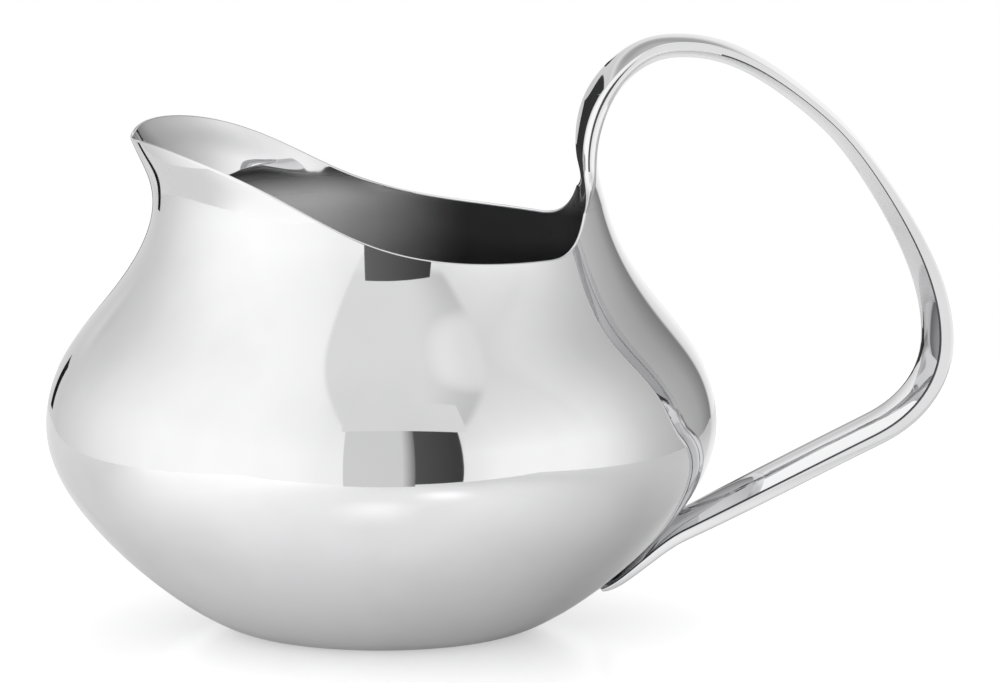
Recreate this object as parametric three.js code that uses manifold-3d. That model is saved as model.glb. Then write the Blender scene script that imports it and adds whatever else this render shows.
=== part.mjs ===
// A polished stainless steel milk jug: a bellied body with a sloping rim and a broad spout,
// and a loop handle that grows out of the rear of the rim and lands on the lower bowl.
// Millimetres, +Z up. The origin is the centre of the flat base, on the axis of the body.
// The spout points to -X and the handle to +X, and the jug is alike on both sides of y = 0.
import * as THREE from 'three';
import { mergeVertices } from 'three/addons/utils/BufferGeometryUtils.js';
import Module from 'manifold-3d';

// Body, as an outside profile of revolution
const wall = 1.0;
const baseRadius = 20;
const baseBend = 35.8;
const bellyRadius = 53;
const bellyHeight = 32.75;
const bellyBend = 17.4;
const neckRadius = 35.95;
const neckHeight = 68.1;
const neckBend = 11.9;
const lipRadius = 38.9;
const lipFlare = 5;

// How far each end of a stretch of the profile holds its own heading
const baseReach = 21.2;
const bellyReachBelow = 46.1;
const bellyReachAbove = 36.8;
const neckReachBelow = 46.3;
const neckReachAbove = 14.1;
const lipReach = 11.4;

// Rim: low at the sides and rear, high at the spout; angles run from the handle round to the spout
const rimLow = 62.3;
const spoutRise = 17.8;
const spoutAngle = 110;
const spoutBlend = 13.75;
const tipDip = 1.33;
const tipDipAngle = 16;
const beak = 0.55;
const beakAngle = 14;

// Tongue of the rear wall that rises from the rim to the handle
const tongueFootAngle = 45;
const tongueWeldAngle = 25.7;
const tongueRise = 5.7;
const tongueLean = 0.65;
const tongueLeanRun = 8;
const tongueLeanPower = 2.6;

// Handle line, in the plane y = 0
const rootDepth = 2.7;
const rootBend = 13;
const rootLength = 14;
const crownReach = 14.4;
const crownRise = 24.5;
const crownBend = 34.9;
const flankReach = 39.4;
const flankRise = 11;
const flankSlope = 46.5;
const flankBend = 33;
const elbowReach = 34.8;
const elbowRise = 13.75;
const elbowBend = 21.7;
const armBack = 10.85;
const armDrop = 15.6;
const armSlope = 27.5;
const footStandoff = 6.6;
const tailTipHeight = 7.4;
const tailTipRound = 4.5;
const tailTipBlunt = 0.3;
const tailTipThin = 0.5;

// Handle section: half width and thickness at each station of the line
const sectionAt = {
  root: { half: 8.6, thick: 4.0 },
  throat: { half: 7.4, thick: 4.3 },
  crown: { half: 6.2, thick: 4.15 },
  flank: { half: 5.4, thick: 3.4 },
  elbow: { half: 5.2, thick: 5.0 },
  armTop: { half: 5.2, thick: 5.7 },
  foot: { half: 5.4, thick: 5.8 },
  tip: { half: 4.6, thick: 2.6 },
};
const ridgeEdge = 0.6;
const handleWall = 0.8;

// Clearances
const seamGap = 0.2;
const buttGap = 0.1;
const copeGap = 0.3;

// Facets
const bodySides = 60;
const bowlSteps = 13;
const shoulderRows = 12;
const tongueColumns = 10;
const filletColumns = 5;
const frontColumns = 40;
const handleColumns = 8;
const shellStep = 3.6;
const rootRows = 10;
const tailRows = 10;
const tipRows = 5;

const rad = THREE.MathUtils.degToRad;
const { lerp, clamp, smootherstep } = THREE.MathUtils;

const steel = new THREE.MeshStandardMaterial({ color: 0xd9dadb, roughness: 0.05, metalness: 1 });

// A plane curve between two ends, with the heading, bend and reach that each end asks for.
// bend is the radius of the turn, positive to the left and Infinity where the line is straight.
class Blend extends THREE.Curve {
  constructor(from, to) {
    super();
    const chord = Math.hypot(to.x - from.x, to.y - from.y);
    this.start = Blend.end(from, from.reachOut ?? chord);
    this.finish = Blend.end(to, to.reachIn ?? chord);
  }

  static end({ x, y, heading, bend }, reach) {
    const along = new THREE.Vector2(Math.cos(rad(heading)), Math.sin(rad(heading)));
    const left = new THREE.Vector2(-along.y, along.x);
    return {
      place: new THREE.Vector2(x, y),
      speed: along.multiplyScalar(reach),
      turn: left.multiplyScalar((reach * reach) / bend),
    };
  }

  getPoint(u, target = new THREE.Vector2()) {
    const [u2, u3, u4, u5] = [u ** 2, u ** 3, u ** 4, u ** 5];
    return target
      .set(0, 0)
      .addScaledVector(this.start.place, 1 - 10 * u3 + 15 * u4 - 6 * u5)
      .addScaledVector(this.start.speed, u - 6 * u3 + 8 * u4 - 3 * u5)
      .addScaledVector(this.start.turn, 0.5 * u2 - 1.5 * u3 + 1.5 * u4 - 0.5 * u5)
      .addScaledVector(this.finish.place, 10 * u3 - 15 * u4 + 6 * u5)
      .addScaledVector(this.finish.speed, -4 * u3 + 7 * u4 - 3 * u5)
      .addScaledVector(this.finish.turn, 0.5 * u3 - u4 + 0.5 * u5);
  }
}

// Body profile: base edge, belly, neck and lip
const weldHeight = rimLow + tongueRise;
const lipHeight = rimLow + spoutRise;
const baseEnd = { x: baseRadius, y: 0, heading: 0, bend: baseBend, reachOut: baseReach };
const bellyEnd = {
  x: bellyRadius,
  y: bellyHeight,
  heading: 90,
  bend: bellyBend,
  reachIn: bellyReachBelow,
  reachOut: bellyReachAbove,
};
const neckEnd = {
  x: neckRadius,
  y: neckHeight,
  heading: 90,
  bend: -neckBend,
  reachIn: neckReachBelow,
  reachOut: neckReachAbove,
};
const lipEnd = { x: lipRadius, y: lipHeight, heading: 90 - lipFlare, bend: Infinity, reachIn: lipReach };
const bowlLine = new Blend(baseEnd, bellyEnd);
const shoulderLine = new Blend(bellyEnd, neckEnd);
const lipLine = new Blend(neckEnd, lipEnd);

// Radius of the profile at a height, found by halving along the stretch that holds that height.
function profileRadius(z) {
  if (z > lipHeight) return lipRadius + (z - lipHeight) * Math.tan(rad(lipFlare));
  const line = z < bellyHeight ? bowlLine : z < neckHeight ? shoulderLine : lipLine;
  let [low, high] = [0, 1];
  for (let halving = 0; halving < 40; halving++) {
    const middle = (low + high) / 2;
    if (line.getPoint(middle).y < z) low = middle;
    else high = middle;
  }
  return line.getPoint((low + high) / 2).x;
}

// How fast the profile widens with height.
function profileSlope(z) {
  const step = 0.05;
  return (profileRadius(z + step) - profileRadius(z - step)) / (2 * step);
}

// Wall thickness measured level, where the wall leans.
function levelWall(z) {
  return wall * Math.hypot(1, profileSlope(z));
}

// The rear wall leans towards the axis as it rises to the handle.
function rearLean(z) {
  const rise = Math.max(0, (z - weldHeight) / tongueLeanRun + 1);
  return tongueLean * rise ** tongueLeanPower;
}

function rearRadius(z) {
  return profileRadius(z) - rearLean(z);
}

// Outside of the upper body at an angle from the handle, in degrees, with the beak of the spout.
function bodyRadius(angle, z) {
  const away = Math.abs(angle);
  const rear = 1 - smootherstep(away, tongueWeldAngle, 2 * tongueFootAngle - tongueWeldAngle);
  const above = clamp((z - neckHeight) / (lipHeight - neckHeight), 0, 1);
  const point = beak * above ** 2 * Math.exp(-(((180 - away) / beakAngle) ** 2));
  return profileRadius(z) - rear * rearLean(z) + point;
}

// Height of the rim at an angle, with the tongue's edges sweeping up to the weld at the rear.
function rimHeight(angle) {
  const away = Math.abs(angle);
  const sweep = spoutRise / (1 + Math.exp((spoutAngle - away) / spoutBlend));
  const dip = tipDip * Math.exp(-(((180 - away) / tipDipAngle) ** 2));
  const climb = Math.max(0, (tongueFootAngle - away) / (tongueFootAngle - tongueWeldAngle));
  const edge = rimLow + sweep - dip + tongueRise * climb ** 2;
  return away < tongueFootAngle ? Math.min(weldHeight, edge) : edge;
}

// Half angle of the tongue at a height above the rim.
function tongueAngle(z) {
  const climb = Math.sqrt((z - rimLow) / tongueRise);
  return tongueFootAngle - (tongueFootAngle - tongueWeldAngle) * climb;
}

// A closed slab between an upper and a lower surface over a grid of columns and rows.
// A ring joins its last column to its first; any other slab has two side walls.
function slab(columns, rows, upper, lower, ring = false) {
  const across = columns.length;
  const positions = [];
  for (const surface of [upper, lower])
    for (const row of rows) for (const column of columns) positions.push(...surface(column, row));
  const index = [];
  const at = (side, row, column) => (side * rows.length + row) * across + (column % across);
  const quad = (a, b, c, d) => index.push(a, b, c, a, c, d);
  const spans = ring ? across : across - 1;
  const last = rows.length - 1;
  for (let column = 0; column < spans; column++) {
    const next = column + 1;
    for (let row = 0; row < last; row++) {
      quad(at(0, row, column), at(0, row, next), at(0, row + 1, next), at(0, row + 1, column));
      quad(at(1, row, column), at(1, row + 1, column), at(1, row + 1, next), at(1, row, next));
    }
    quad(at(0, 0, next), at(0, 0, column), at(1, 0, column), at(1, 0, next));
    quad(at(0, last, column), at(0, last, next), at(1, last, next), at(1, last, column));
  }
  for (let row = 0; row < last && !ring; row++) {
    const end = across - 1;
    quad(at(0, row, 0), at(0, row + 1, 0), at(1, row + 1, 0), at(1, row, 0));
    quad(at(0, row + 1, end), at(0, row, end), at(1, row, end), at(1, row + 1, end));
  }
  const geometry = new THREE.BufferGeometry();
  geometry.setAttribute('position', new THREE.Float32BufferAttribute(positions, 3));
  geometry.setIndex(index);
  return geometry;
}

// Evenly spaced values from one end to the other, both included.
function spread(from, to, steps) {
  return Array.from({ length: steps + 1 }, (_, i) => lerp(from, to, i / steps));
}

// Lower bowl: one drawn cup with a flat base, up to the level seam at the belly
function bowlOutline(offset) {
  return spread(0, 1, bowlSteps).map((u) => {
    const along = bowlLine.getTangent(u);
    return bowlLine.getPoint(u).add(new THREE.Vector2(along.y, -along.x).multiplyScalar(offset));
  });
}

function turned(outline) {
  return new THREE.LatheGeometry(outline, bodySides).rotateX(Math.PI / 2);
}

function bowlShell() {
  const outside = bowlOutline(0);
  const inside = bowlOutline(-wall).reverse();
  inside[0].y = bellyHeight;
  const middle = (z) => new THREE.Vector2(0, z);
  return turned([middle(0), ...outside, ...inside, middle(wall)]);
}

// Shoulder, neck, spout and rear tongue: one drawn wall from the belly seam up to the rim
function shoulderShell() {
  const flank = spread(tongueWeldAngle, tongueFootAngle, filletColumns).slice(1, -1);
  const front = spread(tongueFootAngle, 360 - tongueFootAngle, frontColumns);
  const angles = [
    ...spread(-tongueWeldAngle, tongueWeldAngle, tongueColumns),
    ...flank,
    ...front,
    ...flank.map((angle) => 360 - angle).reverse(),
  ];
  const place = (inset) => (angle, rise) => {
    const turn = angle > 180 ? angle - 360 : angle;
    const z = lerp(bellyHeight, rimHeight(turn), rise);
    const radius = bodyRadius(turn, z) - inset * levelWall(z);
    return [radius * Math.cos(rad(turn)), radius * Math.sin(rad(turn)), z];
  };
  return slab(angles, spread(0, 1, shoulderRows), place(0), place(1), true);
}

// Handle line: up from the weld, over the crown, down the flank, round the elbow, along the arm
// to its foot above the bowl, and down the bowl to the tip of the tail
const rootX = rearRadius(weldHeight) - rootDepth;
const elbow = { x: bellyRadius + elbowReach, y: bellyHeight + elbowRise };
const armTop = { x: elbow.x - armBack, y: elbow.y - armDrop };

function armFoot() {
  const along = { x: -Math.cos(rad(armSlope)), y: -Math.sin(rad(armSlope)) };
  const point = (length) => ({ x: armTop.x + length * along.x, y: armTop.y + length * along.y });
  let [near, far] = [0, armTop.y / Math.sin(rad(armSlope))];
  for (let halving = 0; halving < 40; halving++) {
    const middle = (near + far) / 2;
    const { x, y } = point(middle);
    if (x - profileRadius(y) > footStandoff) near = middle;
    else far = middle;
  }
  return point(near);
}

// The tip's own centre stands half its thickness off the bowl.
function tailTip() {
  const slope = profileSlope(tailTipHeight);
  const out = new THREE.Vector2(1, -slope).normalize().multiplyScalar(copeGap + sectionAt.tip.thick / 2);
  const heading = THREE.MathUtils.radToDeg(Math.atan2(-1, -slope));
  return { x: profileRadius(tailTipHeight) + out.x, y: tailTipHeight + out.y, heading };
}

const handleEnds = [
  { x: rootX, y: weldHeight, heading: 90, bend: rootBend },
  { x: rootX + crownReach, y: weldHeight + crownRise, heading: 0, bend: -crownBend },
  { x: rootX + flankReach, y: weldHeight + flankRise, heading: -flankSlope, bend: -flankBend },
  { ...elbow, heading: -90, bend: -elbowBend },
  { ...armTop, heading: armSlope - 180, bend: Infinity },
  { ...armFoot(), heading: armSlope - 180, bend: Infinity },
  { ...tailTip(), bend: Infinity },
];
const handleLine = new THREE.CurvePath();
for (let i = 1; i < handleEnds.length; i++) handleLine.add(new Blend(handleEnds[i - 1], handleEnds[i]));
const [crownAt, flankAt, elbowAt, armTopAt, footAt, tipAt] = handleLine.getCurveLengths();

const stations = [
  { at: 0, ...sectionAt.root },
  { at: rootLength, ...sectionAt.throat },
  { at: crownAt, ...sectionAt.crown },
  { at: flankAt, ...sectionAt.flank },
  { at: elbowAt, ...sectionAt.elbow },
  { at: armTopAt, ...sectionAt.armTop },
  { at: footAt, ...sectionAt.foot },
  { at: tipAt, ...sectionAt.tip },
];

// A size of the section at a distance along the line, on a smooth curve through the stations.
function sectionSize(name, distance) {
  const slopeAt = (i) => {
    const before = stations[Math.max(0, i - 1)];
    const after = stations[Math.min(stations.length - 1, i + 1)];
    return (after[name] - before[name]) / (after.at - before.at);
  };
  const i = clamp(stations.findIndex((station) => station.at >= distance), 1, stations.length - 1);
  const [from, to] = [stations[i - 1], stations[i]];
  const span = to.at - from.at;
  const u = (distance - from.at) / span;
  return (
    from[name] * (1 + 2 * u) * (1 - u) ** 2 +
    slopeAt(i - 1) * span * u * (1 - u) ** 2 +
    to[name] * u ** 2 * (3 - 2 * u) +
    slopeAt(i) * span * u ** 2 * (u - 1)
  );
}

// The end of the tail is rounded off in plan, from 1 where the rounding starts to 0 at the tip.
function tipRounding(distance) {
  const past = clamp((distance - tipAt + tailTipRound) / tailTipRound, 0, 1);
  return Math.sqrt(1 - past ** 2);
}

// Half thickness of the two-sided lens at a share of its half width, from its ridge edge to its middle.
function lensDepth(share, distance) {
  const depth = (sectionSize('thick', distance) - ridgeEdge) / 2;
  return ridgeEdge / 2 + depth * (1 - share ** 2);
}

// A point of the section: share runs over the width, depth towards the fingers from the handle line.
function handlePoint(share, distance, depth) {
  const u = distance / tipAt;
  const middle = handleLine.getPoint(u);
  const along = handleLine.getTangent(u);
  const y = share * sectionSize('half', distance) * Math.max(tipRounding(distance), tailTipBlunt);
  return [middle.x + depth * along.y, y, middle.y - depth * along.x];
}

const shares = spread(-1, 1, handleColumns);

// Handle root: solid piece that turns the curved wall of the tongue into the lens of the handle
function handleRoot() {
  const place = (inset) => (share, distance) => {
    const z = handleLine.getPoint(distance / tipAt).y;
    const turn = rad(share * tongueAngle(z));
    const radius = rearRadius(z) - inset * levelWall(z);
    const onWall = [radius * Math.cos(turn), radius * Math.sin(turn), z];
    const side = inset ? -1 : 1;
    const onLens = handlePoint(share, distance, side * lensDepth(share, distance));
    const blend = smootherstep(distance, 0, rootLength);
    return onWall.map((value, axis) => lerp(value, onLens[axis], blend));
  };
  return slab(spread(-1, 1, tongueColumns), spread(0, rootLength, rootRows), place(0), place(1));
}

// Half shell of the hollow loop: side 1 faces the fingers, side -1 faces away from them
function handleShell(side) {
  const first = rootLength + buttGap;
  const end = footAt - buttGap;
  const rows = spread(first, end, Math.round((end - first) / shellStep));
  const skin = (share, distance) => handlePoint(share, distance, side * lensDepth(share, distance));
  const lining = (share, distance) => {
    const depth = Math.max(seamGap / 2, lensDepth(share, distance) - handleWall);
    return handlePoint(share, distance, side * depth);
  };
  return side > 0 ? slab(shares, rows, skin, lining) : slab(shares, rows, lining, skin);
}

const wasm = await Module();
wasm.setup();

function toSolid(geometry) {
  const bare = new THREE.BufferGeometry();
  bare.setAttribute('position', geometry.getAttribute('position'));
  bare.setIndex(geometry.getIndex());
  const merged = mergeVertices(bare);
  return new wasm.Manifold(
    new wasm.Mesh({
      numProp: 3,
      vertProperties: merged.getAttribute('position').array,
      triVerts: Uint32Array.from(merged.getIndex().array),
    }),
  );
}

function toGeometry(solid) {
  const { vertProperties, triVerts } = solid.getMesh();
  const geometry = new THREE.BufferGeometry();
  geometry.setAttribute('position', new THREE.Float32BufferAttribute(vertProperties, 3));
  geometry.setIndex(Array.from(triVerts));
  return geometry;
}

// Handle tail: solid tongue that carries the loop, coped to lie along the lower bowl
function handleTail() {
  const straight = spread(footAt, tipAt - tailTipRound, tailRows);
  const round = spread(0, Math.PI / 2, tipRows)
    .slice(1)
    .map((turn) => tipAt - tailTipRound * (1 - Math.sin(turn)));
  const place = (side) => (share, distance) => {
    const depth = lensDepth(share, distance) * lerp(tailTipThin, 1, tipRounding(distance));
    return handlePoint(share, distance, side * depth);
  };
  const tongue = slab(shares, [...straight, ...round], place(1), place(-1));
  const middle = (z) => new THREE.Vector2(0, z);
  const bowl = turned([middle(-copeGap), ...bowlOutline(copeGap), middle(bellyHeight)]);
  return toGeometry(toSolid(tongue).subtract(toSolid(bowl)));
}

const milkJug = new THREE.Group();

function addPiece(name, geometry) {
  geometry.computeVertexNormals();
  const piece = new THREE.Mesh(geometry, steel);
  piece.name = name;
  milkJug.add(piece);
}

addPiece('bowl_shell', bowlShell());
addPiece('shoulder_shell', shoulderShell());
addPiece('handle_root', handleRoot());
addPiece('handle_inner_shell', handleShell(1));
addPiece('handle_outer_shell', handleShell(-1));
addPiece('handle_tail', handleTail());

export default milkJug;
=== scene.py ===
import bpy
import numpy as np
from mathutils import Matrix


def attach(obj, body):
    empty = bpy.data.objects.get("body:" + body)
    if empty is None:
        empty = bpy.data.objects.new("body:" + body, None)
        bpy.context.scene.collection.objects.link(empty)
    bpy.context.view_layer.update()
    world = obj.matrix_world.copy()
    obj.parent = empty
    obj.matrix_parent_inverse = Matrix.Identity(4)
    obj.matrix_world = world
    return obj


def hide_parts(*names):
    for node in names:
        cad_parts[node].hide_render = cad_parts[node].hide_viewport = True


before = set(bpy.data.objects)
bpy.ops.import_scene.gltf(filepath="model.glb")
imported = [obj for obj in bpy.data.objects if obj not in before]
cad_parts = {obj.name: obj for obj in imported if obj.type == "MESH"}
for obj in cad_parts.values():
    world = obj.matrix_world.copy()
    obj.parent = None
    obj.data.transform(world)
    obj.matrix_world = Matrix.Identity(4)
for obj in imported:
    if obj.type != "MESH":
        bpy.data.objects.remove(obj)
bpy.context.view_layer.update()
MM = 0.001

# Lower bowl
# A cup drawn from stainless sheet, with a flat base and walls that turn upright at the belly. Its top
# edge is butted to the shoulder and welded, and the weld is ground flush and polished out of sight.
WALL = 1.0
BELLY_HEIGHT = 32.75
BASE_END = (20.0, 0.0, 0.0, 35.8)
BELLY_END = (53.0, BELLY_HEIGHT, 90.0, 17.4)
BASE_REACH = 21.2
BELLY_REACH_BELOW = 46.1


class Line:
    """Plane curve between two ends (x, z, heading in degrees, bend radius), even in its curvature."""

    def __init__(self, start, finish, reach_out=None, reach_in=None):
        chord = np.hypot(finish[0] - start[0], finish[1] - start[1])
        self.ends = self.settle(start, reach_out or chord) + self.settle(finish, reach_in or chord)

    @staticmethod
    def settle(end, reach):
        x, z, heading, bend = end
        along = np.array([np.cos(np.radians(heading)), np.sin(np.radians(heading))])
        left = np.array([-along[1], along[0]])
        return [np.array([x, z]), along * reach, left * reach**2 / bend]

    def point(self, u):
        u = np.asarray(u, float)[..., None]
        shares = (
            1 - 10 * u**3 + 15 * u**4 - 6 * u**5,
            u - 6 * u**3 + 8 * u**4 - 3 * u**5,
            0.5 * u**2 - 1.5 * u**3 + 1.5 * u**4 - 0.5 * u**5,
            10 * u**3 - 15 * u**4 + 6 * u**5,
            -4 * u**3 + 7 * u**4 - 3 * u**5,
            0.5 * u**3 - u**4 + 0.5 * u**5,
        )
        return sum(share * end for share, end in zip(shares, self.ends))

    def heading(self, u):
        u = np.asarray(u, float)[..., None]
        shares = (
            -30 * u**2 + 60 * u**3 - 30 * u**4,
            1 - 18 * u**2 + 32 * u**3 - 15 * u**4,
            u - 4.5 * u**2 + 6 * u**3 - 2.5 * u**4,
            30 * u**2 - 60 * u**3 + 30 * u**4,
            -12 * u**2 + 28 * u**3 - 15 * u**4,
            1.5 * u**2 - 4 * u**3 + 2.5 * u**4,
        )
        speed = sum(share * end for share, end in zip(shares, self.ends))
        return speed / np.linalg.norm(speed, axis=-1, keepdims=True)


def unit(vectors):
    return vectors / np.linalg.norm(vectors, axis=-1, keepdims=True)


def grid_faces(rows, columns, close_rows=False, close_columns=True):
    """Quads over a grid of vertices, as index lists; a closed side joins its last line to its first."""
    row = np.arange(rows if close_rows else rows - 1)[:, None]
    column = np.arange(columns if close_columns else columns - 1)[None, :]
    next_row, next_column = (row + 1) % rows, (column + 1) % columns
    corners = (
        row * columns + column,
        row * columns + next_column,
        next_row * columns + next_column,
        next_row * columns + column,
    )
    return np.stack([np.broadcast_to(c, corners[0].shape) for c in corners], -1).reshape(-1, 4).tolist()


def polished_piece(name, points, normals, faces, materials, second_faces=()):
    """A mesh object from points in mm, shaded by the true normals; second_faces take the second material."""
    mesh = bpy.data.meshes.new(name)
    mesh.from_pydata((np.asarray(points) * MM).tolist(), [], faces, shade_flat=False)
    for material in materials:
        mesh.materials.append(material)
    for index in second_faces:
        mesh.polygons[index].material_index = 1
    mesh.validate()
    mesh.normals_split_custom_set_from_vertices(np.asarray(normals).tolist())
    piece = bpy.data.objects.new(name, mesh)
    bpy.context.scene.collection.objects.link(piece)
    return piece


def linear(colour):
    """Linear RGBA from an sRGB hex colour."""
    parts = np.array([int(colour[i : i + 2], 16) / 255 for i in (1, 3, 5)])
    parts = np.where(parts <= 0.04045, parts / 12.92, ((parts + 0.055) / 1.055) ** 2.4)
    return (*parts.tolist(), 1.0)


def add_node(tree, kind, inputs=None, **settings):
    """Adds a node, with settings by name and inputs by socket: a value, or a (node, output) to link."""
    node = tree.nodes.new(kind)
    for setting, value in settings.items():
        setattr(node, setting, value)
    for socket, value in (inputs or {}).items():
        if isinstance(value, tuple) and isinstance(value[0], bpy.types.Node):
            tree.links.new(value[0].outputs[value[1]], node.inputs[socket])
        else:
            node.inputs[socket].default_value = value
    return node


def run_node(tree, value, run, ends=(0.0, 1.0), soft=True):
    """A node that goes from one end level to the other while a value goes between the two limits of a run."""
    return add_node(
        tree,
        "ShaderNodeMapRange",
        {"Value": value, "From Min": run[0], "From Max": run[1], "To Min": ends[0], "To Max": ends[1]},
        interpolation_type="SMOOTHSTEP" if soft else "LINEAR",
    )


# Mirror-polished stainless steel, buffed on a soft wheel: a neutral grey mirror. The eye gets sharp
# reflections, a trace of haze where hands have been, and buffing lines too fine to count.
# The buffing lines are about 0.05 mm apart on the metal and are drawn at 0.5 mm, faintly, so that they show.
STEEL_CLEAN = "#d9d9da"
STEEL_HAZED = "#d3d3d4"
STEEL_ROUGHNESS = 0.03
HAZE_ROUGHNESS = 0.055
HAZE_PATCH_MM = 24.0
HAZE_DETAIL, HAZE_GRAIN = 3.0, 0.55
HAZE_LIMITS = (0.42, 0.72)
BUFF_LINE_MM = 0.5
BUFF_RUN_MM = 30.0
BUFF_DEPTH_MM = 0.00003
BUFF_DETAIL = 2.0


def polished_steel(name, buff_runs, tones=(STEEL_CLEAN, STEEL_HAZED), dulled=None):
    """Steel with buffing lines along the axes in buff_runs; dulled may replace some inputs of its shader."""
    material = bpy.data.materials.new(name)
    material.use_nodes = True
    tree = material.node_tree
    tree.nodes.clear()
    place = add_node(tree, "ShaderNodeTexCoord")
    haze = add_node(
        tree,
        "ShaderNodeTexNoise",
        {
            "Vector": (place, "Object"),
            "Scale": 1 / (HAZE_PATCH_MM * MM),
            "Detail": HAZE_DETAIL,
            "Roughness": HAZE_GRAIN,
        },
    )
    patch = run_node(tree, (haze, "Fac"), HAZE_LIMITS, soft=False)
    pitch = [1 / ((BUFF_RUN_MM if axis in buff_runs else BUFF_LINE_MM) * MM) for axis in "XYZ"]
    stretch = add_node(tree, "ShaderNodeMapping", {"Vector": (place, "Object"), "Scale": pitch})
    buffing = add_node(
        tree, "ShaderNodeTexNoise", {"Vector": (stretch, "Vector"), "Scale": 1.0, "Detail": BUFF_DETAIL}
    )
    tone = add_node(
        tree,
        "ShaderNodeMix",
        {"Factor": (patch, "Result"), "A": linear(tones[0]), "B": linear(tones[1])},
        data_type="RGBA",
    )
    gloss = run_node(tree, (patch, "Result"), (0.0, 1.0), (STEEL_ROUGHNESS, HAZE_ROUGHNESS), soft=False)
    relief = add_node(
        tree,
        "ShaderNodeBump",
        {"Height": (buffing, "Fac"), "Strength": 1.0, "Distance": BUFF_DEPTH_MM * MM},
    )
    finish = {
        "Base Color": (tone, "Result"),
        "Metallic": 1.0,
        "Roughness": (gloss, "Result"),
        "Normal": (relief, "Normal"),
    }
    if dulled:
        finish.update(dulled(tree, place, tone, gloss))
    steel = add_node(tree, "ShaderNodeBsdfPrincipled", finish)
    add_node(tree, "ShaderNodeOutputMaterial", {"Surface": (steel, "BSDF")})
    return material


body_steel = polished_steel("polished stainless steel body", "XY")

# Satin stainless steel inside the body, where a wheel can't reach: a soft grey lustre with no sharp
# reflections, which sharpens to the outside's polish on the flare under the rim. Towards the spout the
# blasted skin scatters the light that falls in at the mouth. Its colour is painted light and shade: near
# white towards the spout and dark grey towards the rear, for how the light falls inside.
SATIN_PAINTED_LIGHT = "#fafafa"
SATIN_PAINTED_SHADE = "#48484a"
SATIN_RUN = (-12.0, 15.0)
SATIN_ROUGHNESS = 0.30
SATIN_SCATTER = 1.0
SATIN_FULL = 62.0
SATIN_END = 69.5


def satin_with_painted_shade_below_neck(tree, place, tone, gloss):
    """Shader inputs for steel left satin, in painted light and shade, up to the neck and polished above it.
    """
    split = add_node(tree, "ShaderNodeSeparateXYZ", {0: (place, "Object")})
    dull = run_node(tree, (split, "Z"), (SATIN_FULL * MM, SATIN_END * MM), (1.0, 0.0))
    rearward = run_node(tree, (split, "X"), (SATIN_RUN[0] * MM, SATIN_RUN[1] * MM))
    scatter = run_node(tree, (rearward, "Result"), (0.0, 1.0), (SATIN_SCATTER, 0.0), soft=False)
    matt = add_node(
        tree, "ShaderNodeMath", {0: (dull, "Result"), 1: (scatter, "Result")}, operation="MULTIPLY"
    )
    metal = add_node(tree, "ShaderNodeMath", {0: 1.0, 1: (matt, 0)}, operation="SUBTRACT")
    # The satin's colour is painted: light towards the spout, shade towards the rear.
    painted_satin_shading = add_node(
        tree,
        "ShaderNodeMix",
        {"Factor": (rearward, "Result"), "A": linear(SATIN_PAINTED_LIGHT), "B": linear(SATIN_PAINTED_SHADE)},
        data_type="RGBA",
    )
    shade = add_node(
        tree,
        "ShaderNodeMix",
        {"Factor": (dull, "Result"), "A": (tone, "Result"), "B": (painted_satin_shading, "Result")},
        data_type="RGBA",
    )
    rough = add_node(
        tree,
        "ShaderNodeMath",
        {0: (dull, "Result"), 1: SATIN_ROUGHNESS, 2: (gloss, "Result")},
        operation="MULTIPLY_ADD",
    )
    return {"Base Color": (shade, "Result"), "Metallic": (metal, 0), "Roughness": (rough, 0)}


inside_steel = polished_steel("satin stainless steel inside with painted shade", "XY", dulled=satin_with_painted_shade_below_neck)

bowl_line = Line(BASE_END, BELLY_END, BASE_REACH, BELLY_REACH_BELOW)
BOWL_ROWS = 60
BASE_RINGS = 6
WELD_HEIGHT = 68.0
RING_COLUMNS = 288

# Round the body, columns stand closer together beside the tongue that carries the handle.
TONGUE_COLUMNS = 36
FILLET_COLUMNS = 30
FILLET_END = 64.3
RIM_WALL = 0.55
RIM_CREST = 62.45
RIM_LOW = RIM_CREST - RIM_WALL / 2
TONGUE_FOOT_ANGLE = 45.0
TONGUE_WELD_SPAN = 19.3
TONGUE_RISE = 5.7
SPOUT_RISE = 17.45
SPOUT_ANGLE = 110.5
SPOUT_BLEND = 13.75
TIP_DIP = 1.33
TIP_DIP_ANGLE = 16.0
HALVINGS = 50


def rim_edge(angle):
    """Height of the rim, and of the tongue's edge that sweeps up from it, at an angle from the handle."""
    away = np.abs(angle)
    sweep = SPOUT_RISE / (1 + np.exp((SPOUT_ANGLE - away) / SPOUT_BLEND))
    dip = TIP_DIP * np.exp(-(((180 - away) / TIP_DIP_ANGLE) ** 2))
    climb = np.maximum(0, TONGUE_FOOT_ANGLE - away) / TONGUE_WELD_SPAN
    return RIM_LOW + sweep - dip + TONGUE_RISE * climb**2


def tongue_angle(z):
    """Half angle of the tongue at a height, found by halving."""
    z = np.asarray(z, float)
    low, high = np.zeros_like(z), np.full_like(z, TONGUE_FOOT_ANGLE)
    for _ in range(HALVINGS):
        middle = (low + high) / 2
        above = rim_edge(middle) > z
        low, high = np.where(above, middle, low), np.where(above, high, middle)
    return (low + high) / 2


weld_angle = float(tongue_angle(WELD_HEIGHT))
half_ring = np.concatenate(
    [
        np.linspace(0, weld_angle, TONGUE_COLUMNS // 2, endpoint=False),
        np.linspace(weld_angle, FILLET_END, FILLET_COLUMNS, endpoint=False),
        np.linspace(FILLET_END, 180, RING_COLUMNS // 2 - TONGUE_COLUMNS // 2 - FILLET_COLUMNS + 1),
    ]
)
ring_angles = np.concatenate([half_ring, -half_ring[-2:0:-1]])
ring_turns = np.radians(ring_angles)


def turned(outline):
    """Points of an outline (radius, z) at each angle of the ring."""
    radius, z = outline[:, 0, None], outline[:, 1, None]
    return np.stack(np.broadcast_arrays(radius * np.cos(ring_turns), radius * np.sin(ring_turns), z), -1)


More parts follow.
